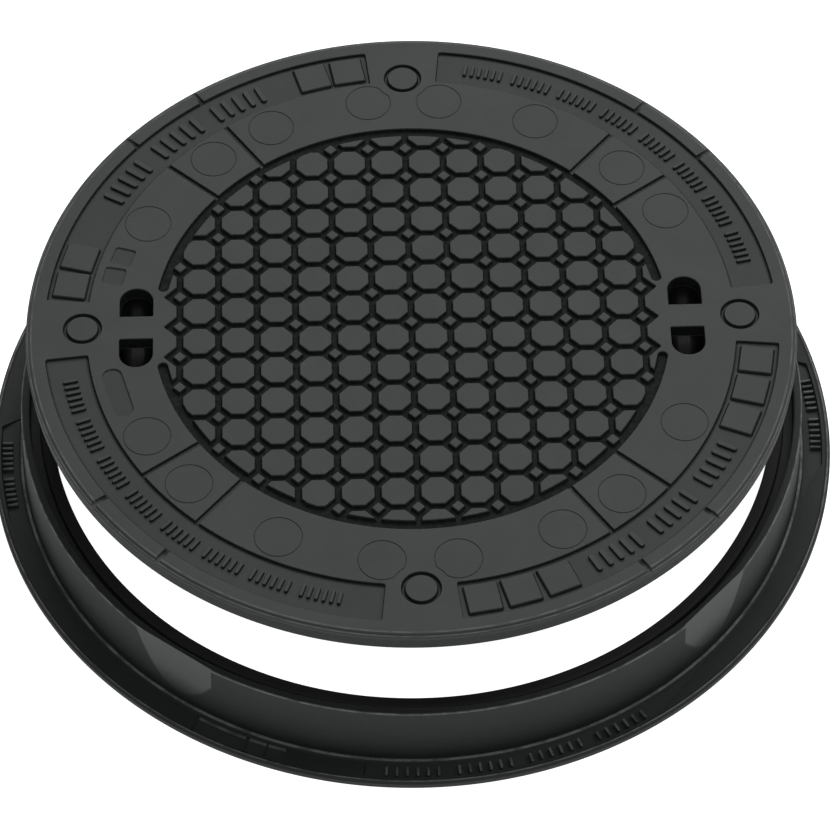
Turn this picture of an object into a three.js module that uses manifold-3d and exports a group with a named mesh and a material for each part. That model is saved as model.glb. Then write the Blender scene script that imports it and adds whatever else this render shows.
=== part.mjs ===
// Round ductile-iron manhole cover lifted above its frame.
// Millimetres, +Z up. The origin is the centre of the frame's underside.
import * as THREE from 'three';
import { mergeVertices } from 'three/addons/utils/BufferGeometryUtils.js';
import Module from 'manifold-3d';

const wasm = await Module();
wasm.setup();

// ---------------------------------------------------------------- driving dimensions
const SEGMENTS = 72;
const GAP = 0.3;
const QUARTERS = [0, 90, 180, 270];

const CLEAR_RADIUS = 300;
const FRAME_HEIGHT = 65.5;
const FLANGE_RADIUS = 353.3;
const FLANGE_CHAMFER = 3;
const LIP_HEIGHT = 9.6;
const LIP_ROUND = 2.2;
const FLANGE_ROOT_HEIGHT = 4.6;
const ROOT_BEAD = 1.6;
const WALL_ROOT_RADIUS = 327.6;
const WALL_TOP_RADIUS = 325.6;
const WALL_INNER_RADIUS = 319.3;
const LEDGE_HEIGHT = 45;
const LEDGE_THICKNESS = 9;
const LEDGE_RADIUS = 302;
const CHANNEL_HEIGHT = 47;
const BASE_INNER_RADIUS = 303;
const BASE_THICKNESS = 8;
const GUSSET_COUNT = 12;
const FLAT_AZIMUTH = -40;
const FLAT_DEPTH = 4.1;
const FLAT_WIDTH = 72;

// Azimuths in degrees: where each recess in the flange starts, ends and how far it rakes.
const RECESSES = [[-98, -55.5, 12], [177, 195, 0], [-7, 11, 0]];
const RECESS_RADII = [331.5, 347];
const RECESS_FLOOR = 3.4;
const TALLIES = [[-122.2, -114.9], [-114.4, -111.9], [-111.6, -109.1]];
const TALLY_RADII = [337.2, 348.6];
const TALLY_FLOOR = 5.9;
const TALLY_BAR_RADIUS = 334.3;
const TALLY_BAR_TOP = 7.2;

const RING_OUTER_RADIUS = 310.5;
const RING_TOP = 53;

const COVER_RADIUS = 315.5;
const COVER_EDGE_DEPTH = 16.7;
const WIDEST_DEPTH = 3.8;
const SKIRT_THICKNESS = 4.6;
const PLATE_THICKNESS = 12.5;
const RELIEF = 3;
const COVER_LIFT = 92;
const RIB_DEPTH = 40;
const RIB_THICKNESS = 8;
const RIB_COUNT = 8;
const GUIDE_RADIUS = 290;
const GUIDE_THICKNESS = 8.5;
const HUB_RADIUS = 52;
const MID_RING_RADIUS = 158;

const TILE = 31.58;
const TREAD_GROOVE = 0.18 * TILE;
const TREAD_DEPTH = 4;
const TREAD_RADIUS = 6.43 * TILE;
const RING_GROOVE_RADIUS = 6.7 * TILE;
const SIDE_LAND_ANGLE = 11.6;
const SIDE_LAND_REACH = 1.62 * TILE;

const PANEL_INNER_RADIUS = 8.42 * TILE;
const PANEL_OUTER_RADIUS = 9.51 * TILE;
const PANEL_MARGIN = 6;
const BLOCK_SIZE = 26;
const BLOCK_RADIUS = 8.94 * TILE;
const BLOCK_AZIMUTHS = [99.6, 105.8, 164.3, 170.4, 279.7, 286, 292.4, 337.6, 344, 350.3];
const SPOKE_AZIMUTHS = [35, 48.8];
const SPOKE_WIDTH = 4.6;
const RIM_LAND_RADIUS = 311.2;

const KEY_RADIUS = 7.13 * TILE;
const KEY_WIDTH = 27.4;
const KEY_BAR = 23.6;
const KEY_END = 41.2;
const POCKET_LENGTH = 92;
const POCKET_WIDTH = 35;
const POCKET_DEPTH = 25;
const POCKET_WALL = 2.5;
const POCKET_NECK = 4;
const COLLAR_WALL = 5;
const COLLAR_DEPTH = 12;

const TAG_DEPTH = 1;
const TAG_RADIUS = 7.86 * TILE;

// ---------------------------------------------------------------- materials
const castIron = new THREE.MeshStandardMaterial({ color: 0x4b4d4c, roughness: 0.55, metalness: 0.3 });
const frameIron = new THREE.MeshStandardMaterial({ color: 0x3d403f, roughness: 0.6, metalness: 0.3 });
const elastomer = new THREE.MeshStandardMaterial({ color: 0x171717, roughness: 0.8, metalness: 0 });
const mouldedCup = new THREE.MeshStandardMaterial({ color: 0x1c1d1d, roughness: 0.6, metalness: 0 });

// ---------------------------------------------------------------- solids and geometry
// A closed geometry becomes a solid once only its positions are kept and shared.
function toSolid(geometry) {
  const bare = geometry.index ? geometry.clone() : mergeVertices(geometry.clone());
  bare.deleteAttribute('normal');
  bare.deleteAttribute('uv');
  const merged = mergeVertices(bare, 1e-4);
  const triangles = [];
  for (let i = 0; i < merged.index.count; i += 3) {
    const [a, b, c] = [0, 1, 2].map((k) => merged.index.getX(i + k));
    if (a !== b && b !== c && c !== a) triangles.push(a, b, c);
  }
  const vertProperties = Float32Array.from(merged.attributes.position.array);
  const triVerts = Uint32Array.from(triangles);
  return new wasm.Manifold(new wasm.Mesh({ numProp: 3, vertProperties, triVerts }));
}

function toGeometry(solid) {
  const mesh = solid.getMesh();
  const geometry = new THREE.BufferGeometry();
  geometry.setAttribute('position', new THREE.BufferAttribute(mesh.vertProperties, 3));
  geometry.setIndex(new THREE.BufferAttribute(mesh.triVerts, 1));
  geometry.computeVertexNormals();
  return geometry;
}

const join = (solids) => solids.reduce((all, solid) => all.add(solid));

// Takes Y to Z exactly, so that level faces stay level.
const yUpToZUp = new THREE.Matrix4().makeBasis(
  new THREE.Vector3(1, 0, 0),
  new THREE.Vector3(0, 0, 1),
  new THREE.Vector3(0, -1, 0),
);

// Turns a (radius, height) profile about Z. It runs outwards below and back inwards above.
function turned(profile, segments = SEGMENTS) {
  const points = profile.map(([r, z]) => new THREE.Vector2(r, z));
  return toSolid(new THREE.LatheGeometry(points, segments).applyMatrix4(yUpToZUp));
}

function turnedRing(profile, segments) {
  return turned([...profile, profile[0]], segments);
}

// Raises a flat shape from the height low to the height high.
function raised(shape, low, high, curveSegments = SEGMENTS) {
  const options = { depth: high - low, bevelEnabled: false, curveSegments };
  return toSolid(new THREE.ExtrudeGeometry(shape, options).translate(0, 0, low));
}

const radians = THREE.MathUtils.degToRad;

function turnedTo(geometry, azimuth) {
  return toSolid(geometry.rotateZ(radians(azimuth)));
}

// ---------------------------------------------------------------- flat shapes
function sector(inner, outer, from, to) {
  const shape = new THREE.Shape();
  shape.absarc(0, 0, outer, radians(from), radians(to), false);
  shape.absarc(0, 0, inner, radians(to), radians(from), true);
  return shape;
}

function disc(x, y, radius) {
  return new THREE.Shape().absarc(x, y, radius, 0, 2 * Math.PI, false);
}

function octagon(x, y, apothem) {
  const radius = apothem / Math.cos(Math.PI / 8);
  const points = [];
  for (let corner = 0; corner < 8; corner++) {
    const angle = ((corner + 0.5) * Math.PI) / 4;
    points.push(new THREE.Vector2(x + radius * Math.cos(angle), y + radius * Math.sin(angle)));
  }
  return new THREE.Shape(points);
}

// ---------------------------------------------------------------- frame casting
function frameWall() {
  return turnedRing([
    [BASE_INNER_RADIUS, 0],
    [FLANGE_RADIUS - FLANGE_CHAMFER, 0],
    [FLANGE_RADIUS, FLANGE_CHAMFER],
    [FLANGE_RADIUS, LIP_HEIGHT - LIP_ROUND],
    [FLANGE_RADIUS - LIP_ROUND, LIP_HEIGHT],
    [FLANGE_RADIUS - 2 * LIP_ROUND, LIP_HEIGHT - 1.4],
    [WALL_ROOT_RADIUS + 2 * ROOT_BEAD, FLANGE_ROOT_HEIGHT],
    [WALL_ROOT_RADIUS + ROOT_BEAD, FLANGE_ROOT_HEIGHT + 0.6],
    [WALL_ROOT_RADIUS, FLANGE_ROOT_HEIGHT + 0.2],
    [WALL_TOP_RADIUS, FRAME_HEIGHT],
    [WALL_INNER_RADIUS, FRAME_HEIGHT],
    [WALL_INNER_RADIUS - 0.3, CHANNEL_HEIGHT],
    [RING_OUTER_RADIUS + GAP, CHANNEL_HEIGHT],
    [RING_OUTER_RADIUS + GAP, LEDGE_HEIGHT],
    [LEDGE_RADIUS, LEDGE_HEIGHT],
    [LEDGE_RADIUS, LEDGE_HEIGHT - LEDGE_THICKNESS],
    [WALL_INNER_RADIUS - 4, LEDGE_HEIGHT - LEDGE_THICKNESS - 4],
    [WALL_INNER_RADIUS - 1, BASE_THICKNESS + 1],
    [BASE_INNER_RADIUS, BASE_THICKNESS - 1],
  ]);
}

function gusset(index) {
  const low = BASE_THICKNESS - 2;
  const high = LEDGE_HEIGHT - LEDGE_THICKNESS + 1;
  const reach = WALL_INNER_RADIUS - LEDGE_RADIUS - 1;
  const plate = new THREE.BoxGeometry(reach, RIB_THICKNESS, high - low);
  plate.translate(LEDGE_RADIUS + 1.5 + reach / 2, 0, (low + high) / 2);
  return turnedTo(plate, ((index + 0.5) * 360) / GUSSET_COUNT);
}

// A leaning flat that is cut into the top of the outer wall and runs out at the flange.
function wallFlat(azimuth) {
  const thickness = 30;
  const height = 90;
  const depth = WALL_ROOT_RADIUS - WALL_TOP_RADIUS + FLAT_DEPTH;
  const lean = Math.atan2(depth, FRAME_HEIGHT - LIP_HEIGHT);
  const block = new THREE.BoxGeometry(thickness, FLAT_WIDTH, height);
  block.translate(thickness / 2, 0, height / 2);
  block.rotateY(-lean);
  block.translate(WALL_ROOT_RADIUS + 0.1, 0, LIP_HEIGHT);
  return turnedTo(block, azimuth);
}

// A level-floored recess in the sloping flange, whose far end can rake towards the wall.
function flangeRecess([from, to, rake = 0], [inner, outer], floor) {
  const shape = new THREE.Shape();
  shape.absarc(0, 0, outer, radians(from), radians(to), false);
  shape.absarc(0, 0, inner, radians(to + rake), radians(from), true);
  return raised(shape, floor, 1.5 * LIP_HEIGHT, 8);
}

function tallyBar([from, to]) {
  return raised(sector(TALLY_BAR_RADIUS, TALLY_RADII[0], from, to), RECESS_FLOOR, TALLY_BAR_TOP, 3);
}

function frameCasting() {
  const gussets = Array.from({ length: GUSSET_COUNT }, (_, i) => gusset(i));
  const flats = QUARTERS.map((turn) => wallFlat(FLAT_AZIMUTH + turn));
  const recesses = RECESSES.map((span) => flangeRecess(span, RECESS_RADII, RECESS_FLOOR));
  const pockets = TALLIES.map((span) => flangeRecess(span, TALLY_RADII, TALLY_FLOOR));
  const cuts = join([...flats, ...recesses, ...pockets]);
  return frameWall().add(join(gussets)).subtract(cuts).add(join(TALLIES.map(tallyBar)));
}

// ---------------------------------------------------------------- damping ring
function dampingRing() {
  const low = LEDGE_HEIGHT + GAP;
  return turnedRing([
    [CLEAR_RADIUS, low],
    [RING_OUTER_RADIUS, low],
    [RING_OUTER_RADIUS, RING_TOP],
    [CLEAR_RADIUS, RING_TOP],
  ]);
}

// ---------------------------------------------------------------- cover casting, top at height 0
function coverBlank() {
  return turned([
    [0, -PLATE_THICKNESS],
    [GUIDE_RADIUS - GUIDE_THICKNESS - 1.5, -PLATE_THICKNESS],
    [GUIDE_RADIUS - GUIDE_THICKNESS + 0.5, -RIB_DEPTH],
    [GUIDE_RADIUS - 1.5, -RIB_DEPTH],
    [GUIDE_RADIUS, -PLATE_THICKNESS],
    [COVER_RADIUS - SKIRT_THICKNESS, -PLATE_THICKNESS],
    [COVER_RADIUS - SKIRT_THICKNESS + 0.5, -COVER_EDGE_DEPTH],
    [COVER_RADIUS - 1.1, -COVER_EDGE_DEPTH],
    [COVER_RADIUS, -WIDEST_DEPTH],
    [COVER_RADIUS - 1.3, -1.4],
    [RIM_LAND_RADIUS, 0],
    [0, 0],
  ]);
}

// Octagonal lugs on a square lattice, trimmed where they cross the edge of the tread.
function treadLugs() {
  const lugs = [];
  const reach = 7;
  const apothem = (TILE - TREAD_GROOVE) / 2;
  for (let i = -reach; i < reach; i++) {
    for (let j = -reach; j < reach; j++) {
      const [x, y] = [(i + 0.5) * TILE, (j + 0.5) * TILE];
      if (Math.hypot(x, y) < TREAD_RADIUS + apothem / 2) lugs.push(octagon(x, y, apothem));
    }
  }
  const limit = raised(disc(0, 0, TREAD_RADIUS), -TREAD_DEPTH, 0);
  return join(lugs.map((shape) => raised(shape, -TREAD_DEPTH, 0))).intersect(limit);
}

// Full-height land beside the tread at one key, with a zigzag edge round the outermost diamonds.
function sideLand(side) {
  const edge = 6 * TILE + TREAD_GROOVE / 2;
  const tip = (7 - Math.SQRT1_2) * TILE + TREAD_GROOVE * Math.SQRT1_2;
  const half = tip - edge;
  const zigzag = [-1, 0, 1].flatMap((row) => [
    new THREE.Vector2(edge, row * TILE - half),
    new THREE.Vector2(tip, row * TILE),
    new THREE.Vector2(edge, row * TILE + half),
  ]);
  const corner = (x, y) => new THREE.Vector2(x, y);
  const inner = new THREE.Shape([
    corner(edge, -SIDE_LAND_REACH),
    ...zigzag,
    corner(edge, SIDE_LAND_REACH),
    corner(RING_GROOVE_RADIUS, SIDE_LAND_REACH),
    corner(RING_GROOVE_RADIUS, -SIDE_LAND_REACH),
  ].reverse());
  const outer = sector(TREAD_RADIUS - 2, RING_GROOVE_RADIUS + 1, -SIDE_LAND_ANGLE, SIDE_LAND_ANGLE);
  const low = -TREAD_DEPTH;
  const limit = raised(disc(0, 0, TREAD_RADIUS), low, 0);
  const land = raised(inner, low, 0).intersect(limit).add(raised(outer, low, 0, 12));
  return side > 0 ? land : land.rotate([0, 0, 180]);
}

function treadRecess() {
  const well = raised(disc(0, 0, RING_GROOVE_RADIUS), -TREAD_DEPTH, 0);
  return well.subtract(join([treadLugs(), sideLand(1), sideLand(-1)]));
}

// One quadrant's sunk lettering panel, the two grooves that drain into it and its rim notches.
function panelCuts(turn) {
  const from = turn + PANEL_MARGIN;
  const to = turn + 90 - PANEL_MARGIN;
  const cuts = [raised(sector(PANEL_INNER_RADIUS, PANEL_OUTER_RADIUS, from, to), -RELIEF, 0, 12)];
  for (const azimuth of SPOKE_AZIMUTHS) {
    const groove = [RING_GROOVE_RADIUS - 2, PANEL_INNER_RADIUS + 2];
    const notch = [PANEL_OUTER_RADIUS - 2, COVER_RADIUS + 1];
    for (const [start, end] of [groove, notch]) {
      const bar = new THREE.BoxGeometry(end - start, SPOKE_WIDTH, RELIEF + 1);
      cuts.push(turnedTo(bar.translate((start + end) / 2, 0, (1 - RELIEF) / 2), turn + azimuth));
    }
  }
  return join(cuts);
}

// Small square blocks that stand in the ends of two of the panels.
function panelBlock(azimuth) {
  const block = new THREE.BoxGeometry(BLOCK_SIZE, BLOCK_SIZE, RELIEF);
  return turnedTo(block.translate(BLOCK_RADIUS, 0, -RELIEF / 2), azimuth);
}

// One of the two D-shaped holes on either side of the lifting bar.
function keyHole(side, end) {
  const centre = side * KEY_RADIUS;
  const half = KEY_WIDTH / 2;
  const shape = new THREE.Shape();
  shape.moveTo(centre + half, KEY_BAR / 2);
  shape.lineTo(centre + half, KEY_END - half);
  shape.absarc(centre, KEY_END - half, half, 0, Math.PI, false);
  shape.lineTo(centre - half, KEY_BAR / 2);
  const hole = raised(shape, -PLATE_THICKNESS, 0, 10);
  return end > 0 ? hole : hole.rotate([0, 0, 180]);
}

function roundedBox(length, width, corner) {
  const shape = new THREE.Shape();
  const [x, y] = [width / 2 - corner, length / 2 - corner];
  shape.absarc(x, y, corner, 0, Math.PI / 2, false);
  shape.absarc(-x, y, corner, Math.PI / 2, Math.PI, false);
  shape.absarc(-x, -y, corner, Math.PI, 1.5 * Math.PI, false);
  shape.absarc(x, -y, corner, 1.5 * Math.PI, 2 * Math.PI, false);
  return shape;
}

// The cast wall under the plate that holds a key pocket.
function pocketCollar(side) {
  const low = -PLATE_THICKNESS - COLLAR_DEPTH;
  const margin = 2 * (COLLAR_WALL + GAP);
  const outer = roundedBox(POCKET_LENGTH + margin, POCKET_WIDTH + margin, COLLAR_WALL + 1);
  const inner = new THREE.BoxGeometry(POCKET_WIDTH + 2 * GAP, POCKET_LENGTH + 2 * GAP, 4 * POCKET_DEPTH);
  const collar = raised(outer, low, -PLATE_THICKNESS + 0.5, 4).subtract(toSolid(inner));
  return collar.translate([side * KEY_RADIUS, 0, 0]);
}

function radialRib(index) {
  const start = HUB_RADIUS - 4;
  const end = GUIDE_RADIUS - 6;
  const high = -PLATE_THICKNESS + 0.5;
  const rib = new THREE.BoxGeometry(end - start, RIB_THICKNESS, high + RIB_DEPTH);
  rib.translate((start + end) / 2, 0, (high - RIB_DEPTH) / 2);
  return turnedTo(rib, ((index + 0.5) * 360) / RIB_COUNT);
}

function ringRib(radius, depth, segments) {
  const high = -PLATE_THICKNESS + 0.5;
  const inner = radius - RIB_THICKNESS;
  return turnedRing([[inner, -depth], [radius, -depth], [radius, high], [inner, high]], segments);
}

// A shallow dimple, rounded at its corners, for a date or foundry tag.
function dimple(azimuth, along, across, corner) {
  const shape = roundedBox(along, across, corner);
  const options = { depth: TAG_DEPTH, bevelEnabled: false, curveSegments: 3 };
  return turnedTo(new THREE.ExtrudeGeometry(shape, options).translate(TAG_RADIUS, 0, -TAG_DEPTH), azimuth);
}

// The diamonds between the lugs and the fine lines round the lands are surface finish, left out here.
function coverCasting() {
  const keyHoles = [1, -1].flatMap((side) => [keyHole(side, 1), keyHole(side, -1)]);
  const tags = [dimple(162.2, 17.7, 17.7, 2.5), dimple(166.7, 17.7, 17.7, 2.5), dimple(195.6, 49.6, 15.2, 7)];
  const cuts = [treadRecess(), ...QUARTERS.map(panelCuts), ...keyHoles, ...tags];
  const ribs = Array.from({ length: RIB_COUNT }, (_, i) => radialRib(i));
  const rings = [ringRib(HUB_RADIUS, RIB_DEPTH, 24), ringRib(MID_RING_RADIUS, RIB_DEPTH - 6, 40)];
  const blank = join([coverBlank(), ...ribs, ...rings, pocketCollar(1), pocketCollar(-1)]);
  return blank.subtract(join(cuts)).add(join(BLOCK_AZIMUTHS.map(panelBlock)));
}

// ---------------------------------------------------------------- key pockets
// A scoop with a curved floor that closes the key holes from below.
function scoop(length, width, depth, top) {
  const shape = new THREE.Shape();
  shape.moveTo(length / 2, top);
  shape.lineTo(length / 2, 0);
  shape.absellipse(0, 0, length / 2, depth, 0, -Math.PI, true);
  shape.lineTo(-length / 2, top);
  const options = { depth: width, bevelEnabled: false, curveSegments: 20 };
  const body = new THREE.ExtrudeGeometry(shape, options).translate(0, 0, -width / 2);
  return toSolid(body.rotateX(Math.PI / 2).rotateZ(Math.PI / 2));
}

function keyPocket() {
  const bowl = POCKET_DEPTH - POCKET_NECK;
  const [length, width] = [POCKET_LENGTH - 2 * POCKET_WALL, POCKET_WIDTH - 2 * POCKET_WALL];
  const inner = scoop(length, width, bowl - POCKET_WALL, POCKET_NECK + 1);
  return scoop(POCKET_LENGTH, POCKET_WIDTH, bowl, POCKET_NECK).subtract(inner);
}

// ---------------------------------------------------------------- assembly
function addPiece(parent, name, solid, material) {
  const mesh = new THREE.Mesh(toGeometry(solid), material);
  mesh.name = name;
  parent.add(mesh);
  return mesh;
}

const assembly = new THREE.Group();
addPiece(assembly, 'frame_casting', frameCasting(), frameIron);
addPiece(assembly, 'damping_ring', dampingRing(), elastomer);

const cover = new THREE.Group();
cover.position.z = FRAME_HEIGHT + GAP + COVER_LIFT;
addPiece(cover, 'cover_casting', coverCasting(), castIron);
for (const [name, side] of [['key_pocket_right', 1], ['key_pocket_left', -1]]) {
  const pocket = addPiece(cover, name, keyPocket(), mouldedCup);
  pocket.position.set(side * KEY_RADIUS, 0, -PLATE_THICKNESS - GAP - POCKET_NECK);
}
assembly.add(cover);

export default assembly;
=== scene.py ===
"""A round cast-iron manhole cover, lifted above its frame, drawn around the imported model.

Lengths are millimetres until a mesh is made, except that lamps and shaders are in metres.
Azimuths are degrees, anticlockwise from +X. An outline is a list of (x, y) points that runs
anticlockwise. A part is (vertices, faces). A level is (height, growth): the height of one
section of a solid, and how far its outline is grown there.
"""
import math

import bmesh
import bpy
from mathutils import Matrix, Vector


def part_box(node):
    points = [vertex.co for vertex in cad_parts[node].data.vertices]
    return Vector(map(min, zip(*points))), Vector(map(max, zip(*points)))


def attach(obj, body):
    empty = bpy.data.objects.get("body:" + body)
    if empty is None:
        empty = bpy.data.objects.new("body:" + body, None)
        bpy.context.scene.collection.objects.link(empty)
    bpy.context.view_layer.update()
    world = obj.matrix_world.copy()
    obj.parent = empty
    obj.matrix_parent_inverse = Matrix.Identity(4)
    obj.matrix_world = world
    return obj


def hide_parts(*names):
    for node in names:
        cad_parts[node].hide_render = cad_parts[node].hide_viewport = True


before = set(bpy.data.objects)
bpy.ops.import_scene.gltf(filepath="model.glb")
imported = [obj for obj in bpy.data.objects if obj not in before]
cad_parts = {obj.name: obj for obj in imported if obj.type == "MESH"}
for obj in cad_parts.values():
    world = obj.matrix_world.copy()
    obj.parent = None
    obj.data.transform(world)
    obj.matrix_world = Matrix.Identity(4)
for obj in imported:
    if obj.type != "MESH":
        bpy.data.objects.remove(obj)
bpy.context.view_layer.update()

MM = 0.001
MERGE_DISTANCE = 0.005 * MM

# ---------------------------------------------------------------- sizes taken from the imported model
frame_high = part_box("frame_casting")[1] / MM
ring_low, ring_high = (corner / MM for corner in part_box("damping_ring"))
cover_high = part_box("cover_casting")[1] / MM
pocket_low, pocket_high = (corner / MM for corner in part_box("key_pocket_right"))

FLANGE_RADIUS = frame_high.x
FRAME_TOP = frame_high.z
RING_RADIUS = ring_high.x
COVER_RADIUS = cover_high.x
COVER_TOP = cover_high.z
KEY_RADIUS = (pocket_low.x + pocket_high.x) / 2

# ---------------------------------------------------------------- cover sizes, heights from its top
QUARTERS = (0, 90, 180, 270)

TILE = KEY_RADIUS / 7.13
GROOVE = 0.18 * TILE
DIAMOND = 0.1656 * TILE
TREAD_RADIUS = 6.43 * TILE
RING_GROOVE = 6.70 * TILE
TREAD_DEPTH = 4
TREAD_ROWS = 7
LUG_LEVELS = [(-TREAD_DEPTH - 0.3, 1.5), (-TREAD_DEPTH + 0.5, 0.8), (-0.7, 0.05), (-0.25, -0.1), (0, -0.5)]

SIDE_LAND_ANGLE = 11.6
SIDE_LAND_REACH = 1.62 * TILE
SIDE_LEVELS = [(-TREAD_DEPTH - 0.3, 0.7), (-TREAD_DEPTH + 0.5, 0.5), (-0.7, 0.05), (-0.25, -0.1), (0, -0.4)]

PANEL_INNER = 8.40 * TILE
PANEL_OUTER = 9.52 * TILE
PANEL_MIDDLE = (PANEL_INNER + PANEL_OUTER) / 2
PANEL_MARGIN = 6
PANEL_CORNERS = {0: 3, 90: 1.4, 180: 3, 270: 1.4}
RELIEF = 3

SPOKE_AZIMUTHS = (34.9, 48.8)

# Width and depth of each kind of groove.
SPOKE = (4.4, 3.2)
RIM_NOTCH = (4.6, 2.6)
MARK_GROOVE = (3.8, 3.4)
THIN_LINE = (1.0, 0.7)

BLOCK = 26
BLOCK_AZIMUTHS = (99.6, 105.8, 164.3, 170.4, 279.7, 286, 292.4, 337.6, 344, 350.3)
BLOCK_LEVELS = [(-RELIEF - 0.3, 1.9), (-RELIEF + 0.4, 1.1), (-0.6, 0.05), (-0.2, -0.1), (0, -0.4)]

# How far out each kind of circle is centred, and its own radius.
MARK_CIRCLE = (8.52 * TILE, 0.45 * TILE)
THIN_CIRCLE = (7.7 * TILE, 0.6 * TILE)
THIN_AZIMUTHS = (27.7, 41.7, 62.8)
BEAN_BITE = 0.74 * TILE
BEAN_SWING = 7.1

# Azimuth, distance from the axis, length, width and corner radius of each sunk tag field.
TAGS = (
    (162.2, 7.87 * TILE, 17.7, 17.7, 2.5),
    (167.2, 7.92 * TILE, 17.7, 17.7, 2.5),
    (195.7, 7.87 * TILE, 16.4, 50, 8),
)

# Start and end azimuth, groups, ribs in a group, length and width of a rib.
COVER_MARKS = (
    (12, 79, 8, 6, 12, 2.7),
    (191, 257, 8, 6, 12, 2.7),
    (115.5, 150, 3, 5, 19, 4.4),
    (299, 331.5, 3, 5, 17, 4.2),
)

PLATE = 12.5
RIM_DEPTH = 16.7
RIB_DEPTH = 40
RIB_THICKNESS = 8
GUIDE_RADIUS = COVER_RADIUS - 25.5
RADIAL_RIBS = 8
HUB_RADIUS = 52
MIDDLE_RING_RADIUS = 158

# ---------------------------------------------------------------- frame sizes, heights from the ground
WALL_ROOT = FLANGE_RADIUS - 25.7
WALL_TOP = FLANGE_RADIUS - 27.7
WALL_INNER = FLANGE_RADIUS - 34
FOOT_INNER = FLANGE_RADIUS - 50.3
LEDGE_INNER = FLANGE_RADIUS - 51.3
FLANGE_START = WALL_ROOT + 3.6
FLANGE_END = FLANGE_RADIUS - 4.4
FLANGE_LOW = 4.6
FLANGE_HIGH = 8.2
BEAD_TOP = FLANGE_LOW + 1.8
LIP_TOP = 9.6
LEDGE_TOP = ring_low.z - 0.3
GUSSETS = 12

# Azimuth of each flat on the wall, and the side of it that ends in a step.
FLATS = ((-126.8, 1), (-43.4, -1), (53.2, 1), (136.6, -1))
FLAT_LEAN = 0.09
FLAT_STEP = 33
FLAT_REACH = 60

# Start and end azimuth, how far each end rakes in degrees, and groups of rib marks.
RECESSES = ((-98, -55.5, (0, 12), 4), (177, 194, (2, 7), 2), (-7, 11, (7, 2), 2))
RECESS_RADII = (FLANGE_RADIUS - 21.8, FLANGE_RADIUS - 7.3)
RECESS_LEVELS = [(4.1, -0.2), (4.5, 0), (14, 1.8)]
FRAME_MARK_RADIUS = FLANGE_RADIUS - 12.3

# Azimuths of the three short fields in the flange, each a pocket with a bar along its inner side.
TALLIES = ((-122.2, -114.9), (-114.4, -111.9), (-111.6, -109.1))
TALLY_POCKET_RADII = (FLANGE_RADIUS - 16.1, FLANGE_RADIUS - 4.7)
TALLY_BAR_RADII = (FLANGE_RADIUS - 19, FLANGE_RADIUS - 16.3)


# ---------------------------------------------------------------- outlines
def polar(radius, azimuth):
    angle = math.radians(azimuth)
    return radius * math.cos(angle), radius * math.sin(angle)


def arc(radius, start, end, step=1.0, centre=(0, 0)):
    count = max(2, math.ceil(abs(end - start) / step))
    turns = [start + (end - start) * i / count for i in range(count + 1)]
    return [(centre[0] + x, centre[1] + y) for x, y in (polar(radius, turn) for turn in turns)]


def circle(radius, centre=(0, 0), count=96):
    return arc(radius, 0, 360, 360 / count, centre)[:-1]


def sector(inner, outer, start, end, rakes=(0, 0), step=1.0):
    """A piece of a flat ring. Rakes lengthen its inner side, in degrees at either end."""
    return arc(outer, start, end, step) + arc(inner, end + rakes[1], start - rakes[0], step)


def rectangle(length, width):
    x, y = length / 2, width / 2
    return [(x, -y), (x, y), (-x, y), (-x, -y)]


def placed(outline, radius, azimuth):
    """Moves an outline out along +X by radius, then turns it about the origin."""
    c, s = polar(1, azimuth)
    return [((x + radius) * c - y * s, (x + radius) * s + y * c) for x, y in outline]


def edge_normals(outline, closed=True):
    points = [Vector(point) for point in outline]
    ends = points[1:] + points[:1] if closed else points[1:]
    edges = [(end - start).normalized() for start, end in zip(points, ends)]
    return points, [Vector((edge.y, -edge.x)) for edge in edges]


def grown(outline, distance):
    """Moves every side of an outline outwards."""
    points, normals = edge_normals(outline)
    result = []
    for index, point in enumerate(points):
        before, after = normals[index - 1], normals[index]
        shift = (before + after) * (distance / max(1 + before.dot(after), 0.3))
        result.append(tuple(point + shift))
    return result


def rounded(outline, radius, steps=3, closed=True):
    """Turns each real corner into an arc, as large as its two sides leave room for."""
    points, normals = edge_normals(outline, closed)
    result = []
    for index, point in enumerate(points):
        if not closed and index in (0, len(points) - 1):
            result.append(tuple(point))
            continue
        before, after = normals[index - 1], normals[index]
        turn = -before.angle_signed(after)
        if abs(turn) < math.radians(12):
            result.append(tuple(point))
            continue
        ahead = points[(index + 1) % len(points)] - point
        behind = points[index - 1] - point
        room = 0.45 * min(ahead.length, behind.length)
        bend = math.tan(abs(turn) / 2)
        size = min(radius, room / bend)
        start = point + behind.normalized() * (size * bend)
        side = -1 if turn < 0 else 1
        for step in range(steps + 1):
            normal = before.slerp(after, step / steps)
            result.append(tuple(start - side * size * before + side * size * normal))
    return result


# ---------------------------------------------------------------- closed parts
def skin(loops, capped=True):
    """Joins loops with equally many points into a closed part."""
    size = len(loops[0])
    vertices = [point for loop in loops for point in loop]
    faces = []
    rows = range(len(loops) - 1) if capped else range(len(loops))
    for row in rows:
        low, high = row * size, (row + 1) % len(loops) * size
        for k in range(size):
            following = (k + 1) % size
            faces.append((low + k, low + following, high + following, high + k))
    if capped:
        faces.append(tuple(reversed(range(size))))
        faces.append(tuple(range(len(vertices) - size, len(vertices))))
    return vertices, faces


def pillar(outline, levels):
    """A solid whose section at each height is the outline, grown by that level's amount."""
    loops = []
    for height, growth in levels:
        section = grown(outline, growth) if growth else outline
        loops.append([(x, y, height) for x, y in section])
    return skin(loops)


def groove(outline, width, depth):
    """A cutter for a narrow groove that follows an outline, with a rounded floor."""
    half, clear = width / 2, 1.0
    section = [(0.35 * half, -depth), (0.8 * half, -0.7 * depth), (half, 0), (half, clear),
               (-half, clear), (-half, 0), (-0.8 * half, -0.7 * depth), (-0.35 * half, -depth)]
    loops = [[(x, y, height) for x, y in grown(outline, growth)] for growth, height in section]
    return skin(loops, capped=False)


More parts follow.
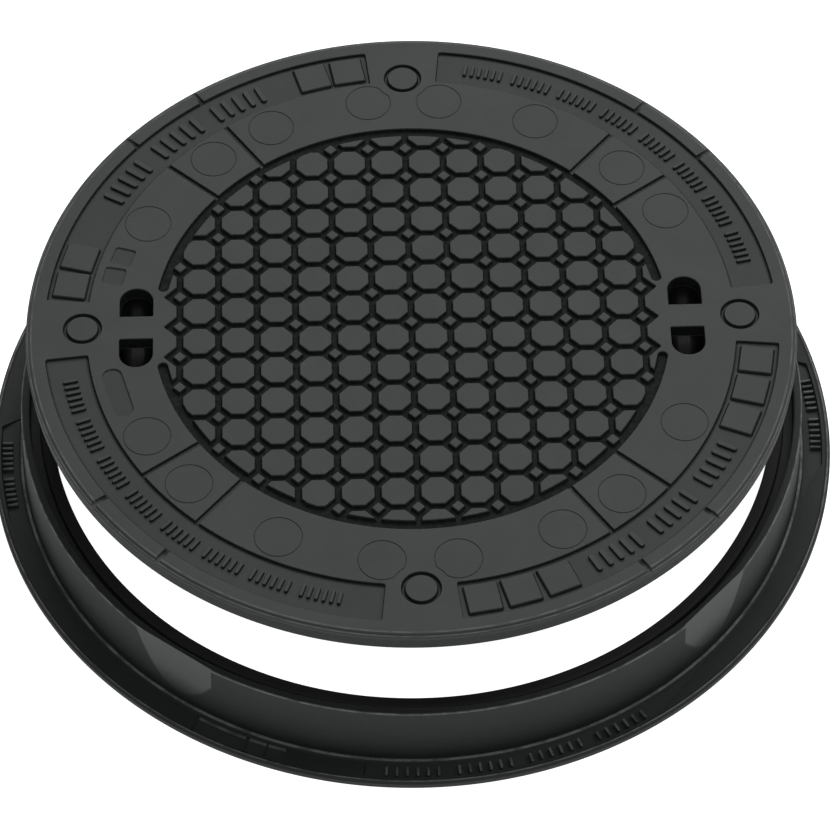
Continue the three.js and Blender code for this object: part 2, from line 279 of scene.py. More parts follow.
def turned(profile, segments=360, closed=True):
    """Turns (radius, height) points about Z. An open profile is capped at both ends."""
    loops = [[(*polar(radius, 360 * k / segments), height) for k in range(segments)]
             for radius, height in profile]
    return skin(loops, capped=not closed)


def sunk_levels(depth, draft, edge):
    """Levels of a cutter with leaning walls and an eased rim. The surface that it cuts is at 0."""
    return [(-depth, -draft - 0.3), (-depth + 0.3, -draft), (-edge, -0.05),
            (-0.35 * edge, 0.25 * edge), (0, edge), (6, edge)]


def rib_marks(radius, start, end, groups, each, length, width, low, high):
    """Equal groups of equal plain ribs, which stand where a marking would."""
    pitch = (end - start) / (groups * (each + 1) - 2)
    outline = rounded(rectangle(length, width), 0.45 * width)
    ribs = []
    for group in range(groups):
        for index in range(each):
            azimuth = start + (group * (each + 1) + index) * pitch
            section = placed(outline, radius, azimuth)
            ribs.append(pillar(section, [(low, 0.35), (high - 0.4, 0), (high, -0.35)]))
    return ribs


def together(parts):
    vertices, faces = [], []
    for points, polygons in parts:
        base = len(vertices)
        vertices.extend(points)
        faces.extend(tuple(base + index for index in polygon) for polygon in polygons)
    return vertices, faces


def new_piece(name, part):
    mesh = bpy.data.meshes.new(name)
    mesh.from_pydata([Vector(point) * MM for point in part[0]], [], part[1])
    mesh.update()
    piece = bpy.data.objects.new(name, mesh)
    bpy.context.scene.collection.objects.link(piece)
    return piece


def apply_modifiers(piece):
    evaluated = piece.evaluated_get(bpy.context.evaluated_depsgraph_get())
    mesh = bpy.data.meshes.new_from_object(evaluated)
    piece.modifiers.clear()
    old, piece.data = piece.data, mesh
    bpy.data.meshes.remove(old)


def combine_piece(piece, tool, operation):
    """Adds another piece to this one, cuts it out, or keeps what the two share. The other one goes."""
    modifier = piece.modifiers.new("combine", "BOOLEAN")
    modifier.object = tool
    modifier.operation = operation
    modifier.solver = "MANIFOLD"
    apply_modifiers(piece)
    bpy.data.objects.remove(tool)


def combine(piece, parts, operation):
    combine_piece(piece, new_piece("tool", together(parts)), operation)


def finish_mesh(piece, material, crease=32):
    """Cleans the mesh, rounds its shading below the crease angle and gives it its material."""
    work = bmesh.new()
    work.from_mesh(piece.data)
    bmesh.ops.triangulate(work, faces=work.faces[:])
    bmesh.ops.remove_doubles(work, verts=work.verts, dist=MERGE_DISTANCE)
    bmesh.ops.dissolve_degenerate(work, edges=work.edges, dist=MERGE_DISTANCE)
    bmesh.ops.holes_fill(work, edges=work.edges, sides=8)
    for face in work.faces:
        face.smooth = True
    work.to_mesh(piece.data)
    work.free()
    piece.data.set_sharp_from_angle(angle=math.radians(crease))
    weighted = piece.modifiers.new("normals", "WEIGHTED_NORMAL")
    weighted.keep_sharp = True
    weighted.weight = 100
    piece.data.materials.clear()
    piece.data.materials.append(material)


# ---------------------------------------------------------------- materials
def node(tree, kind, inputs=None, **settings):
    """Adds a shader node. An input is a constant or another node's output."""
    made = tree.nodes.new(kind)
    for key, value in settings.items():
        setattr(made, key, value)
    for key, value in (inputs or {}).items():
        if isinstance(value, bpy.types.NodeSocket):
            tree.links.new(value, made.inputs[key])
        else:
            made.inputs[key].default_value = value
    return made


def maths(tree, operation, a, b=0.0):
    return node(tree, "ShaderNodeMath", {0: a, 1: b}, operation=operation).outputs[0]


def product(tree, first, *others):
    for value in others:
        first = maths(tree, "MULTIPLY", first, value)
    return first


def largest(tree, first, *others):
    for value in others:
        first = maths(tree, "MAXIMUM", first, value)
    return first


def ramp(tree, value, low, high, start=0.0, end=1.0):
    """Carries low..high smoothly over to start..end."""
    limits = {"Value": value, "From Min": low, "From Max": high, "To Min": start, "To Max": end}
    return node(tree, "ShaderNodeMapRange", limits, interpolation_type="SMOOTHSTEP").outputs[0]


def noise(tree, place, scale, detail=3.0, roughness=0.55):
    inputs = {"Vector": place, "Scale": scale, "Detail": detail, "Roughness": roughness}
    return node(tree, "ShaderNodeTexNoise", inputs).outputs[0]


def blend(tree, factor, first, second):
    made = node(tree, "ShaderNodeMix", data_type="RGBA")
    for socket, value in zip((made.inputs[0], made.inputs[6], made.inputs[7]), (factor, first, second)):
        if isinstance(value, bpy.types.NodeSocket):
            tree.links.new(value, socket)
        else:
            socket.default_value = value
    return made.outputs[2]


def grey(value, tint=(1.0, 1.0, 1.0)):
    return tuple(value * channel for channel in tint) + (1.0,)


IRON_TINT = (0.94, 1.03, 1.0)
IRON_SHINE = 0.25
# Specular level where painted shade lies on the cover.
PAINTED_SHADE_SHINE = 0.03
COVER_TONE = 0.038
FRAME_TONE = 0.019
# Painted highlight tone on the leaning flats.
FLAT_HIGHLIGHT_TONE = 0.08
# Painted highlight tone for crests, rim lines and rib marks.
HIGHLIGHT_TONE = 0.085


def surface(name):
    """A material with one shader, and the place on the piece in metres."""
    material = bpy.data.materials.new(name)
    material.use_nodes = True
    tree = material.node_tree
    shader = tree.nodes["Principled BSDF"]
    coordinates = node(tree, "ShaderNodeTexCoord").outputs["Object"]
    return material, tree, shader, coordinates


def bumped(tree, height, distance, normal=None):
    inputs = {"Height": height, "Distance": distance, "Strength": 1.0}
    if normal is not None:
        inputs["Normal"] = normal
    return node(tree, "ShaderNodeBump", inputs).outputs[0]


def cast_iron(name, tone, grain):
    """Black dip-coated iron: sandy grain, slow changes of tone and gloss."""
    material, tree, shader, place = surface(name)
    sand = noise(tree, place, 900, 4, 0.6)
    skin_waves = noise(tree, place, 170, 3)
    cloud = noise(tree, place, 16, 3)
    smear = noise(tree, place, 55, 4, 0.65)
    mottle = maths(tree, "ADD", product(tree, cloud, 0.6), product(tree, smear, 0.4))
    shade = ramp(tree, mottle, 0.3, 0.7)
    colour = blend(tree, shade, grey(0.92 * tone, IRON_TINT), grey(1.08 * tone, IRON_TINT))
    speckle = ramp(tree, sand, 0.35, 0.7)
    colour = blend(tree, product(tree, speckle, 0.2), colour, grey(1.6 * tone, IRON_TINT))
    gloss = maths(tree, "ADD", ramp(tree, smear, 0.3, 0.7, 0.66, 0.72), product(tree, speckle, 0.05))
    rough = bumped(tree, skin_waves, 0.00025 * grain)
    rough = bumped(tree, sand, 0.00009 * grain, normal=rough)
    tree.links.new(colour, shader.inputs["Base Color"])
    tree.links.new(gloss, shader.inputs["Roughness"])
    tree.links.new(rough, shader.inputs["Normal"])
    shader.inputs["Specular IOR Level"].default_value = IRON_SHINE
    return material, tree, shader, place, colour


def place_parts(tree, place):
    """The distance from the common axis and the height, in metres."""
    flat = node(tree, "ShaderNodeVectorMath", {0: place, 1: (1, 1, 0)}, operation="MULTIPLY").outputs[0]
    radius = node(tree, "ShaderNodeVectorMath", {0: flat}, operation="LENGTH").outputs["Value"]
    height = node(tree, "ShaderNodeSeparateXYZ", {0: place}).outputs["Z"]
    return radius, height


def crest_mask(tree, radius, height, inner, outer, low):
    """Marks what stands above a height in a narrow band round the common axis."""
    inside = ramp(tree, radius, inner * MM, (inner + 0.4) * MM)
    outside = ramp(tree, radius, outer * MM, (outer - 0.4) * MM)
    above = ramp(tree, height, low * MM, (low + 0.4) * MM)
    return product(tree, inside, outside, above)


def highlight_patches(tree, place, least):
    """How strongly a crest's painted highlight shows, from place to place."""
    return ramp(tree, noise(tree, place, 75, 4, 0.6), 0.35, 0.6, least, 1.0)


def under_top(drop):
    """A height below the cover's top, in metres."""
    return (COVER_TOP - drop) * MM


def cover_painted_shade(tree, place, radius, height):
    """Marks painted shade on steep sides, on the tread's floor, on sunk panels and down the rim."""
    normal = node(tree, "ShaderNodeNewGeometry").outputs["Normal"]
    up = node(tree, "ShaderNodeSeparateXYZ", {0: normal}).outputs["Z"]
    steep = product(tree, ramp(tree, up, 0.9, 0.45), ramp(tree, height, under_top(0.5), under_top(1.6)))
    tread_floor = ramp(tree, height, under_top(3.05), under_top(3.8))
    panel_floor = ramp(tree, height, under_top(0.4), under_top(1.1), 0, 0.22)

    panel_edge = largest(tree, ramp(tree, radius, (PANEL_INNER + 4) * MM, (PANEL_INNER + 0.5) * MM),
                         ramp(tree, radius, (PANEL_OUTER - 3.5) * MM, (PANEL_OUTER - 0.5) * MM))
    panel_depth = ramp(tree, height, under_top(1.5), under_top(2.5), 0, 0.75)
    past_tread = ramp(tree, radius, (PANEL_INNER - 1) * MM, (PANEL_INNER - 0.5) * MM)
    panel_corner = product(tree, panel_edge, panel_depth, past_tread)

    inside = ramp(tree, radius, (COVER_RADIUS - 7.5) * MM, (COVER_RADIUS - 12.5) * MM)
    above_plate = ramp(tree, height, under_top(12), under_top(11.5))
    painted_shade = largest(tree, steep, tread_floor, panel_floor, panel_corner)
    painted_shade = product(tree, painted_shade, inside, above_plate)
    rim_side = product(tree, ramp(tree, radius, (COVER_RADIUS - 8.5) * MM, (COVER_RADIUS - 5.5) * MM),
                       ramp(tree, height, under_top(3.5), under_top(5.5), 0, 0.5))
    shade_unevenness = ramp(tree, noise(tree, place, 240, 3), 0.3, 0.7, 0.8, 0.95)
    return product(tree, largest(tree, painted_shade, rim_side), shade_unevenness)


def cover_iron():
    """Iron with painted shade in its hollows and two painted highlight lines round the rim."""
    material, tree, shader, place, colour = cast_iron("cover_iron", COVER_TONE, 1.0)
    radius, height = place_parts(tree, place)
    # Painted shade: darker hollows, steep sides, sunk floors and rim side.
    painted_shade = cover_painted_shade(tree, place, radius, height)
    colour = blend(tree, painted_shade, colour, grey(0.2 * COVER_TONE, IRON_TINT))
    patchy = highlight_patches(tree, place, 0.3)
    # Painted highlight lines along two crests of the rim.
    for inner, outer in ((5.2, 3.6), (2.2, 0.7)):
        rim = crest_mask(tree, radius, height, COVER_RADIUS - inner, COVER_RADIUS - outer, COVER_TOP - 2.6)
        colour = blend(tree, product(tree, rim, patchy), colour, grey(HIGHLIGHT_TONE, IRON_TINT))
    tree.links.new(colour, shader.inputs["Base Color"])
    # Less shine where the painted shade lies.
    shine = ramp(tree, painted_shade, 0, 1, IRON_SHINE, PAINTED_SHADE_SHINE)
    tree.links.new(shine, shader.inputs["Specular IOR Level"])
    return material


def flat_highlight_mask(tree, radius, height):
    """Marks where a leaning flat has taken the outer wall away, for a painted highlight that fades towards
    its foot.
    """
    draft = (WALL_ROOT - WALL_TOP) / (FRAME_TOP - FLANGE_LOW)
    wall = maths(tree, "SUBTRACT", (WALL_TOP + draft * FRAME_TOP) * MM, product(tree, height, draft))
    sunk = ramp(tree, maths(tree, "SUBTRACT", wall, radius), 0.1 * MM, 0.4 * MM)
    outer = ramp(tree, radius, (WALL_INNER + 1) * MM, (WALL_INNER + 1.6) * MM)
    below = ramp(tree, height, (FRAME_TOP - 0.3) * MM, (FRAME_TOP - 0.8) * MM)
    fading = ramp(tree, height, 6 * MM, 40 * MM)
    return product(tree, sunk, outer, below, fading)


def flange_mark_mask(tree, radius, height):
    """Marks the rib marks, which stand above the slope of the flange."""
    slope = (FLANGE_HIGH - FLANGE_LOW) / (FLANGE_END - FLANGE_START)
    start = (FLANGE_LOW - slope * FLANGE_START) * MM
    flange = maths(tree, "ADD", product(tree, radius, slope), start)
    stand = ramp(tree, maths(tree, "SUBTRACT", height, flange), 0.3 * MM, 0.8 * MM)
    band = crest_mask(tree, radius, height, FRAME_MARK_RADIUS - 8, FRAME_MARK_RADIUS + 6, 5)
    return product(tree, stand, band)


def frame_iron():
    """Iron with painted highlights on the four leaning flats, on the rib marks and on the crests."""
    material, tree, shader, place, colour = cast_iron("frame_iron", FRAME_TONE, 1.5)
    radius, height = place_parts(tree, place)
    patchy = highlight_patches(tree, place, 0.35)
    # Painted highlight on the leaning flats, fading towards their foot.
    colour = blend(tree, flat_highlight_mask(tree, radius, height), colour, grey(FLAT_HIGHLIGHT_TONE, IRON_TINT))
    # Painted highlight on the tops of the rib marks.
    marks = product(tree, flange_mark_mask(tree, radius, height), patchy)
    colour = blend(tree, marks, colour, grey(HIGHLIGHT_TONE, IRON_TINT))
    crests = (
        (WALL_ROOT + 0.2, WALL_ROOT + 3.0, BEAD_TOP - 0.7),
        (FLANGE_RADIUS - 4.6, FLANGE_RADIUS - 1.2, LIP_TOP - 0.7),
        (WALL_TOP - 1.3, WALL_TOP + 1.0, FRAME_TOP - 1.4),
    )
    # Painted highlight along the bead, the lip and the wall's top edge.
    for crest in crests:
        crest_highlight = product(tree, crest_mask(tree, radius, height, *crest), patchy)
        colour = blend(tree, crest_highlight, colour, grey(1.5 * HIGHLIGHT_TONE, IRON_TINT))
    tree.links.new(colour, shader.inputs["Base Color"])
    return material


def rubber(name):
    material, tree, shader, place = surface(name)
    fine = noise(tree, place, 1300, 3)
    bloom = ramp(tree, noise(tree, place, 35, 4, 0.6), 0.35, 0.7)
    colour = blend(tree, bloom, grey(0.008), grey(0.014))
    tree.links.new(colour, shader.inputs["Base Color"])
    tree.links.new(ramp(tree, bloom, 0, 1, 0.72, 0.84), shader.inputs["Roughness"])
    tree.links.new(bumped(tree, fine, 0.00004), shader.inputs["Normal"])
    shader.inputs["Specular IOR Level"].default_value = 0.3
    return material


def moulded_plastic(name):
    material, tree, shader, place = surface(name)
    texture = noise(tree, place, 1500, 2)
    flow = ramp(tree, noise(tree, place, 60, 3), 0.3, 0.7)
    colour = blend(tree, flow, grey(0.003), grey(0.006))
    tree.links.new(colour, shader.inputs["Base Color"])
    tree.links.new(ramp(tree, flow, 0, 1, 0.5, 0.58), shader.inputs["Roughness"])
    tree.links.new(bumped(tree, texture, 0.00002), shader.inputs["Normal"])
    shader.inputs["Specular IOR Level"].default_value = 0.13
    return material


# ---------------------------------------------------------------- camera, lights and floor
VIEW_AZIMUTH = 1.675
VIEW_ELEVATION = 51.9
VIEW_DISTANCE = 3480.6
VIEW_LENS = 187.7
VIEW_AIM = Vector((0, -97.6, COVER_TOP))
LAMP_DISTANCE = 3.5
FLOOR_SIZE = 8000


def towards(azimuth, elevation):
    """The direction from the object towards a point seen at that azimuth and elevation."""
    level = math.cos(math.radians(elevation))
    return Vector((*(level * value for value in polar(1, azimuth)), math.sin(math.radians(elevation))))


def camera():
    data = bpy.data.cameras.new("camera")
    data.lens = VIEW_LENS
    data.clip_end = 50
    eye = bpy.data.objects.new("camera", data)
    back = towards(-90 - VIEW_AZIMUTH, VIEW_ELEVATION)
    eye.location = (VIEW_AIM + VIEW_DISTANCE * back) * MM
    eye.rotation_euler = back.to_track_quat("Z", "Y").to_euler()
    bpy.context.scene.collection.objects.link(eye)
    bpy.context.scene.camera = eye


def soft_light(name, azimuth, elevation, size, power):
    data = bpy.data.lights.new(name, "AREA")
    data.shape = "DISK"
    data.size = size
    data.energy = power
    lamp = bpy.data.objects.new(name, data)
    lamp.location = LAMP_DISTANCE * towards(azimuth, elevation)
    lamp.rotation_euler = towards(azimuth, elevation).to_track_quat("Z", "Y").to_euler()
    bpy.context.scene.collection.objects.link(lamp)


def studio():
    scene = bpy.context.scene
    scene.view_settings.view_transform = "Standard"
    scene.world = bpy.data.worlds.new("studio")
    scene.world.use_nodes = True
    background = scene.world.node_tree.nodes["Background"]
    background.inputs["Color"].default_value = (1, 1, 1, 1)
    background.inputs["Strength"].default_value = 0.22
    soft_light("key", azimuth=80, elevation=55, size=2.6, power=88)
    soft_light("side", azimuth=12, elevation=48, size=1.2, power=24)
    soft_light("front_top", azimuth=-90, elevation=58, size=1.2, power=25)

    floor = new_piece("floor", pillar(rectangle(FLOOR_SIZE, FLOOR_SIZE), [(-8, 0), (-0.5, 0)]))
    material, tree, shader, place = surface("pale_floor")
    shade = ramp(tree, noise(tree, place, 2), 0.3, 0.7)
    tree.links.new(blend(tree, shade, grey(0.48), grey(0.52)), shader.inputs["Base Color"])
    shader.inputs["Roughness"].default_value = 0.9
    shader.inputs["Emission Color"].default_value = (1, 1, 1, 1)
    shader.inputs["Emission Strength"].default_value = 1.0
    floor.data.materials.append(material)


# ---------------------------------------------------------------- frame
def frame_body():
    """The turned section: foot, flange, lip, bead, outer wall, ledge and lower inner wall."""
    profile = [
        (FOOT_INNER, 0),
        (FLANGE_RADIUS - 2.6, 0),
        (FLANGE_RADIUS, 2.6),
        (FLANGE_RADIUS, LIP_TOP - 2.4),
        (FLANGE_RADIUS - 2.2, LIP_TOP),
        (FLANGE_END, FLANGE_HIGH),
        (FLANGE_START, FLANGE_LOW),
        (WALL_ROOT + 2.4, BEAD_TOP),
        (WALL_ROOT + 0.4, BEAD_TOP),
        (WALL_ROOT - 0.1, BEAD_TOP - 0.6),
        (WALL_TOP, FRAME_TOP),
        (WALL_INNER, FRAME_TOP),
        (WALL_INNER - 0.3, LEDGE_TOP + 2),
        (RING_RADIUS + 0.3, LEDGE_TOP + 2),
        (RING_RADIUS + 0.3, LEDGE_TOP),
        (LEDGE_INNER, LEDGE_TOP),
        (LEDGE_INNER, LEDGE_TOP - 9),
        (WALL_INNER - 4, LEDGE_TOP - 13),
        (WALL_INNER - 1, 9),
        (FOOT_INNER, 7),
    ]
    return turned(rounded(profile, 0.9, 3))


def gusset(index):
    """A rib inside the frame, from the foot up to the ledge."""
    length = 17
    azimuth = 360 / GUSSETS * (index + 0.5)
    outline = placed(rectangle(length, RIB_THICKNESS), FOOT_INNER + length / 2, azimuth)
    return pillar(rounded(outline, 2), [(6, 1), (LEDGE_TOP - 8, 0)])


def leaning_flat(azimuth, step_side):
    """A cutter for a flat on the outer wall: deepest at the top, with a small step at one end."""
    foot, outer = BEAD_TOP + 0.4, WALL_ROOT + 0.9
    left, right = (-FLAT_REACH, FLAT_STEP) if step_side > 0 else (-FLAT_STEP, FLAT_REACH)
    loops = []
    for height in (foot, FRAME_TOP + 5):
        near = WALL_ROOT + 0.1 - FLAT_LEAN * (height - foot)
        section = [(outer, left), (outer, right), (near, right), (near, left)]
        loops.append([(x, y, height) for x, y in placed(section, 0, azimuth)])
    return skin(loops)


def frame_recess(start, end, rakes):
    outline = rounded(sector(*RECESS_RADII, start, end, rakes), 1.2)
    return pillar(outline, RECESS_LEVELS)


def tally_pocket(start, end):
    outline = rounded(sector(*TALLY_POCKET_RADII, start, end), 0.6)
    return pillar(outline, [(5.9, 0), (14, 0.5)])


def tally_bar(start, end):
    outline = rounded(sector(*TALLY_BAR_RADII, start, end), 0.5)
    return pillar(outline, [(4, 0.2), (6.8, 0), (7.2, -0.3)])


def flange_marks(start, end, groups):
    """The rib marks in one recess, three degrees short of either end."""
    return rib_marks(FRAME_MARK_RADIUS, start + 3, end - 3, groups,
                     each=6, length=9, width=2.2, low=3.6, high=8.0)


def frame_casting():
    piece = new_piece("frame_iron_casting", frame_body())
    combine(piece, [gusset(index) for index in range(GUSSETS)], "UNION")
    combine(piece, [leaning_flat(*flat) for flat in FLATS], "DIFFERENCE")
    combine(piece, [frame_recess(start, end, rakes) for start, end, rakes, _ in RECESSES], "DIFFERENCE")
    combine(piece, [tally_pocket(*span) for span in TALLIES], "DIFFERENCE")
    combine(piece, [tally_bar(*span) for span in TALLIES], "UNION")
    marks = [rib for start, end, _, groups in RECESSES for rib in flange_marks(start, end, groups)]
    combine(piece, marks, "UNION")
    finish_mesh(piece, frame_iron())
    return piece


# ---------------------------------------------------------------- damping ring
def damping_ring():
    """A flat ring with a bevel round its outer top edge."""
    low, high = ring_low.z, ring_high.z
    inner = RING_RADIUS - 10.5
    profile = [(inner, low), (RING_RADIUS, low), (RING_RADIUS, high - 0.6), (RING_RADIUS - 2.4, high),
               (inner + 0.8, high)]
    piece = new_piece("damping_ring_rubber", turned(rounded(profile, 0.8, 4)))
    finish_mesh(piece, rubber("elastomer"))
    return piece


# ---------------------------------------------------------------- cover
def cover_body():
    """The plate with its rim and its skirt, before anything is cut or raised."""
    profile = [
        (GUIDE_RADIUS - 10, -PLATE),
        (GUIDE_RADIUS - 8, -RIB_DEPTH),
        (GUIDE_RADIUS - 1.5, -RIB_DEPTH),
        (GUIDE_RADIUS, -PLATE),
        (COVER_RADIUS - 4.6, -PLATE),
        (COVER_RADIUS - 4.1, -RIM_DEPTH),
        (COVER_RADIUS - 1.1, -RIM_DEPTH),
        (COVER_RADIUS, -3.8),
        (COVER_RADIUS - 0.3, -2.5),
        (COVER_RADIUS - 1.2, -1.9),
        (COVER_RADIUS - 2.3, -1.8),
        (COVER_RADIUS - 3.2, -0.4),
        (COVER_RADIUS - 4.4, 0),
    ]
    return turned(rounded(profile, 0.4, 3, closed=False), closed=False)


def tread_lugs():
    """The octagonal lugs and the small diamonds between them, as two lists."""
    octagons, diamonds = [], []
    apothem = (TILE - GROOVE) / 2
    reach = apothem / math.cos(math.pi / 8)
    octagon = rounded([polar(reach, 45 * k + 22.5) for k in range(8)], 1.2, 2)
    diamond = rounded([polar(DIAMOND, 90 * k) for k in range(4)], 0.6, 2)
    rows = range(-TREAD_ROWS, TREAD_ROWS + 1)
    for i in rows:
        for j in rows:
            x, y = (i + 0.5) * TILE, (j + 0.5) * TILE
            outline = [(x + a, y + b) for a, b in octagon]
            if min(math.hypot(*corner) for corner in outline) < TREAD_RADIUS - 0.08 * TILE:
                octagons.append(pillar(outline, LUG_LEVELS))
            x, y = i * TILE, j * TILE
            if math.hypot(x, y) < TREAD_RADIUS:
                diamonds.append(pillar([(x + a, y + b) for a, b in diamond], LUG_LEVELS))
    return octagons, diamonds


def side_land(side):
    """The full-height land beside one key, with a zigzag edge round the outermost diamonds."""
    edge = (TREAD_ROWS - 1) * TILE + GROOVE / 2
    tip = (TREAD_ROWS - math.sqrt(0.5)) * TILE + GROOVE * math.sqrt(0.5)
    half = tip - edge
    zigzag = []
    for row in (1, 0, -1):
        zigzag += [(edge, row * TILE + half), (tip, row * TILE), (edge, row * TILE - half)]
    middle, end_radius = (TREAD_RADIUS + RING_GROOVE) / 2, (RING_GROOVE - TREAD_RADIUS) / 2
    reach = math.degrees(math.asin(SIDE_LAND_REACH / TREAD_RADIUS))
    angle = SIDE_LAND_ANGLE
    upper_end = arc(end_radius, angle, angle - 180, 15, polar(middle, angle))
    upper_end += arc(TREAD_RADIUS, angle + 0.5, reach)
    lower_end = [(x, -y) for x, y in reversed(upper_end)]
    outer = arc(RING_GROOVE + 3, -angle, angle)
    tread_edge = [(edge, SIDE_LAND_REACH), *zigzag, (edge, -SIDE_LAND_REACH)]
    outline = outer + upper_end + tread_edge + lower_end
    if side < 0:
        outline = [(-x, -y) for x, y in outline]
    return pillar(rounded(outline, 0.8, 2), SIDE_LEVELS)


def panel(turn):
    outline = sector(PANEL_INNER, PANEL_OUTER, turn + PANEL_MARGIN, turn + 90 - PANEL_MARGIN)
    return pillar(rounded(outline, PANEL_CORNERS[turn]), sunk_levels(RELIEF, 0.5, 0.5))


def spokes(turn):
    """Two narrow radial grooves, each with a wider notch in the rim."""
    cuts = []
    for azimuth in SPOKE_AZIMUTHS:
        for start, end, (width, depth) in ((RING_GROOVE - 3, PANEL_INNER + 2, SPOKE),
                                           (PANEL_OUTER - 2, COVER_RADIUS + 4, RIM_NOTCH)):
            outline = placed(rectangle(end - start, width), (start + end) / 2, turn + azimuth)
            cuts.append(pillar(outline, sunk_levels(depth, 0.4, 0.4)))
    return cuts


def raised_block(azimuth):
    outline = placed(rounded(rectangle(BLOCK, BLOCK), 0.8), PANEL_MIDDLE, azimuth)
    return pillar(outline, BLOCK_LEVELS)


def mark_circle(azimuth):
    radius, size = MARK_CIRCLE
    return groove(circle(size, polar(radius, azimuth)), *MARK_GROOVE)


def thin_circle(azimuth):
    radius, size = THIN_CIRCLE
    return groove(circle(size, polar(radius, azimuth)), *THIN_LINE)


def bean(azimuth, mark_azimuth):
    """A thin circle with a bite out of it, where it gives way to the mark circle beside it."""
    centre, whole = polar(THIN_CIRCLE[0], azimuth), THIN_CIRCLE[1]
    bite_centre, count = polar(MARK_CIRCLE[0], mark_azimuth), 72
    points = circle(whole, centre, count)
    kept = [math.dist(point, bite_centre) > BEAN_BITE for point in points]
    first = next(k for k in range(count) if kept[k] and not kept[k - 1])
    run = [points[(first + k) % count] for k in range(count) if kept[(first + k) % count]]
    ends = [math.degrees(math.atan2(y - bite_centre[1], x - bite_centre[0])) for x, y in (run[-1], run[0])]
    sweep = (ends[1] - ends[0] + 180) % 360 - 180
    bite = arc(BEAN_BITE, ends[0], ends[0] + sweep, 6, bite_centre)[1:-1]
    return groove(rounded(run + bite, 1.5), *THIN_LINE)


def key_hole(side, end):
    """A D-shaped hole, straight along the bar between the two holes of a pair."""
    half, bar, tip = 13.7, 11.8, 41.2
    outline = [(-half, bar), (half, bar)] + arc(half, 0, 180, 6, (0, tip - half))
    outline = [(side * KEY_RADIUS + x, y) for x, y in rounded(outline, 0.8)]
    if end < 0:
        outline = [(x, -y) for x, y in reversed(outline)]
    return pillar(outline, [(-20, 0), (-0.8, 0), (-0.25, 0.2), (0, 0.6), (2, 0.6)])


def tag(azimuth, radius, length, width, corner):
    outline = placed(rounded(rectangle(length, width), corner, 6), radius, azimuth)
    return pillar(outline, [(-1.5, -0.8), (-1.2, -0.3), (-0.2, 0), (0, 0.3), (1, 0.3)])


def pocket_collar(side):
    """The wall under the plate that holds a key pocket, and the cutter for the hole in it."""
    gap, wall = 0.3, 5
    length, width = 2 * (pocket_high.y + gap), pocket_high.x - pocket_low.x + 2 * gap
    inner = rounded(rectangle(width, length), 0.5)
    outer = rounded(rectangle(width + 2 * wall, length + 2 * wall), wall, 5)
    inner, outer = (placed(outline, side * KEY_RADIUS, 0) for outline in (inner, outer))
    solid = pillar(outer, [(-PLATE - 12, -0.6), (-PLATE - 11.4, 0), (-PLATE + 0.5, 1.2)])
    hole = pillar(inner, [(-RIB_DEPTH, 0), (-PLATE, 0)])
    return solid, hole


def radial_rib(index):
    """A rib from the hub ring to the skirt."""
    start, end = HUB_RADIUS - 4, GUIDE_RADIUS - 6
    azimuth = 360 / RADIAL_RIBS * (index + 0.5)
    outline = placed(rectangle(end - start, RIB_THICKNESS), (start + end) / 2, azimuth)
    levels = [(-RIB_DEPTH, -1.2), (-RIB_DEPTH + 0.8, -0.5), (-PLATE - 2, 0.4), (-PLATE + 0.5, 2.4)]
    return pillar(outline, levels)


def ring_rib(radius, depth):
    profile = [(radius - RIB_THICKNESS - 2, -PLATE + 0.5), (radius - RIB_THICKNESS, -PLATE - 2),
               (radius - RIB_THICKNESS + 0.8, -depth), (radius - 0.8, -depth), (radius, -PLATE - 2),
               (radius + 2, -PLATE + 0.5)]
    return turned(rounded(profile, 0.8), 144)


def cover_underside(piece):
    """Adds the ribs, and the collars that hold the key pockets."""
    collars = [pocket_collar(side) for side in (1, -1)]
    combine(piece, [solid for solid, _ in collars], "UNION")
    combine(piece, [radial_rib(index) for index in range(RADIAL_RIBS)], "UNION")
    rings = [ring_rib(HUB_RADIUS, RIB_DEPTH), ring_rib(MIDDLE_RING_RADIUS, RIB_DEPTH - 6)]
    combine(piece, rings, "UNION")
    combine(piece, [hole for _, hole in collars], "DIFFERENCE")


def cover_tread(piece):
    """Sinks a round well in the middle, then stands the lugs and the two side lands in it."""
    well = pillar(circle(RING_GROOVE, count=360), sunk_levels(TREAD_DEPTH, 0.7, 0.5))
    combine(piece, [well], "DIFFERENCE")
    octagons, diamonds = tread_lugs()
    lugs = new_piece("lugs", together(octagons))
    combine(lugs, [pillar(circle(TREAD_RADIUS, count=360), LUG_LEVELS)], "INTERSECT")
    combine_piece(piece, lugs, "UNION")
    combine(piece, diamonds, "UNION")
    combine(piece, [side_land(1), side_land(-1)], "UNION")


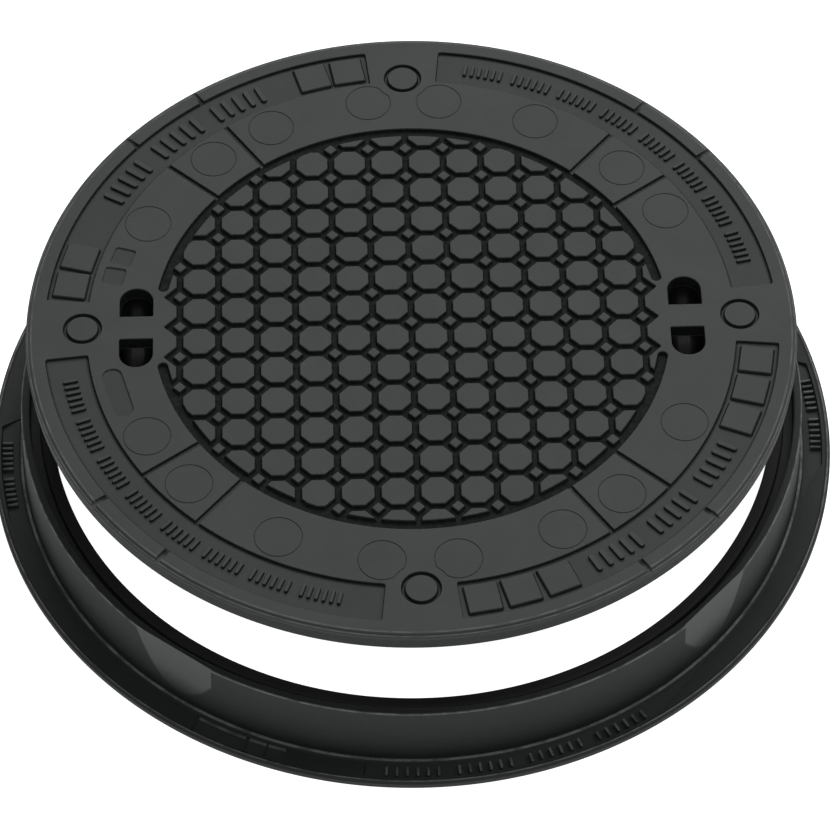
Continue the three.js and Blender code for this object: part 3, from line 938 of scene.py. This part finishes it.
def cover_border(piece):
    """Cuts and raises everything between the tread and the rim."""
    combine(piece, [panel(turn) for turn in QUARTERS], "DIFFERENCE")
    combine(piece, [cut for turn in QUARTERS for cut in spokes(turn)], "DIFFERENCE")
    combine(piece, [raised_block(azimuth) for azimuth in BLOCK_AZIMUTHS], "UNION")

    lines = [thin_circle(turn + azimuth) for turn in QUARTERS for azimuth in THIN_AZIMUTHS]
    lines += [bean(mark + swing, mark) for mark in (90, 270) for swing in (BEAN_SWING, -BEAN_SWING)]
    lines += [mark_circle(turn) for turn in QUARTERS]
    combine(piece, lines, "DIFFERENCE")
    combine(piece, [tag(*row) for row in TAGS], "DIFFERENCE")
    combine(piece, [key_hole(side, end) for side in (1, -1) for end in (1, -1)], "DIFFERENCE")
    marks = [rib for row in COVER_MARKS for rib in rib_marks(PANEL_MIDDLE, *row, -RELIEF - 0.3, -0.3)]
    combine(piece, marks, "UNION")


def cover_casting():
    piece = new_piece("cover_iron_casting", cover_body())
    cover_underside(piece)
    cover_tread(piece)
    cover_border(piece)
    piece.data.transform(Matrix.Translation((0, 0, COVER_TOP * MM)))
    finish_mesh(piece, cover_iron())
    return piece


# ---------------------------------------------------------------- key pockets
def key_pocket(side, name):
    """A smooth scoop that closes both key holes from below."""
    half_width, half_length = (pocket_high.x - pocket_low.x) / 2, pocket_high.y
    top, depth = pocket_high.z, pocket_high.z - pocket_low.z
    wall, rows, count, squareness = 2.2, 16, 96, 2.8
    fractions = [math.sin(math.radians(90 * row / rows)) for row in range(rows)]

    def section(shrink, fraction, drop):
        bulge = math.sqrt(1 - (0.985 * fraction) ** 2)
        a = (half_width - shrink) * bulge ** 0.75
        b = (half_length - shrink) * bulge
        loop = []
        for k in range(count):
            c, s = polar(1, 360 * k / count)
            reach = (abs(c) ** squareness + abs(s) ** squareness) ** (-1 / squareness)
            loop.append((side * KEY_RADIUS + a * reach * c, b * reach * s, top - drop))
        return loop

    outer = [section(0, fraction, depth * fraction) for fraction in reversed(fractions)]
    inner = [section(wall, fraction, (depth - wall) * fraction) for fraction in fractions]
    piece = new_piece(name, skin(outer + inner))
    finish_mesh(piece, moulded_plastic("pocket_plastic"), 50)
    return piece


# ---------------------------------------------------------------- assembly
camera()
studio()

casting = frame_casting()
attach(casting, "frame")
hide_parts("frame_casting")

ring = damping_ring()
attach(ring, "frame")
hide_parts("damping_ring")

cover = cover_casting()
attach(cover, "cover")
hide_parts("cover_casting")

for side, hand in ((1, "right"), (-1, "left")):
    pocket = key_pocket(side, f"key_pocket_cup_{hand}")
    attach(pocket, "cover")
    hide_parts(f"key_pocket_{hand}")
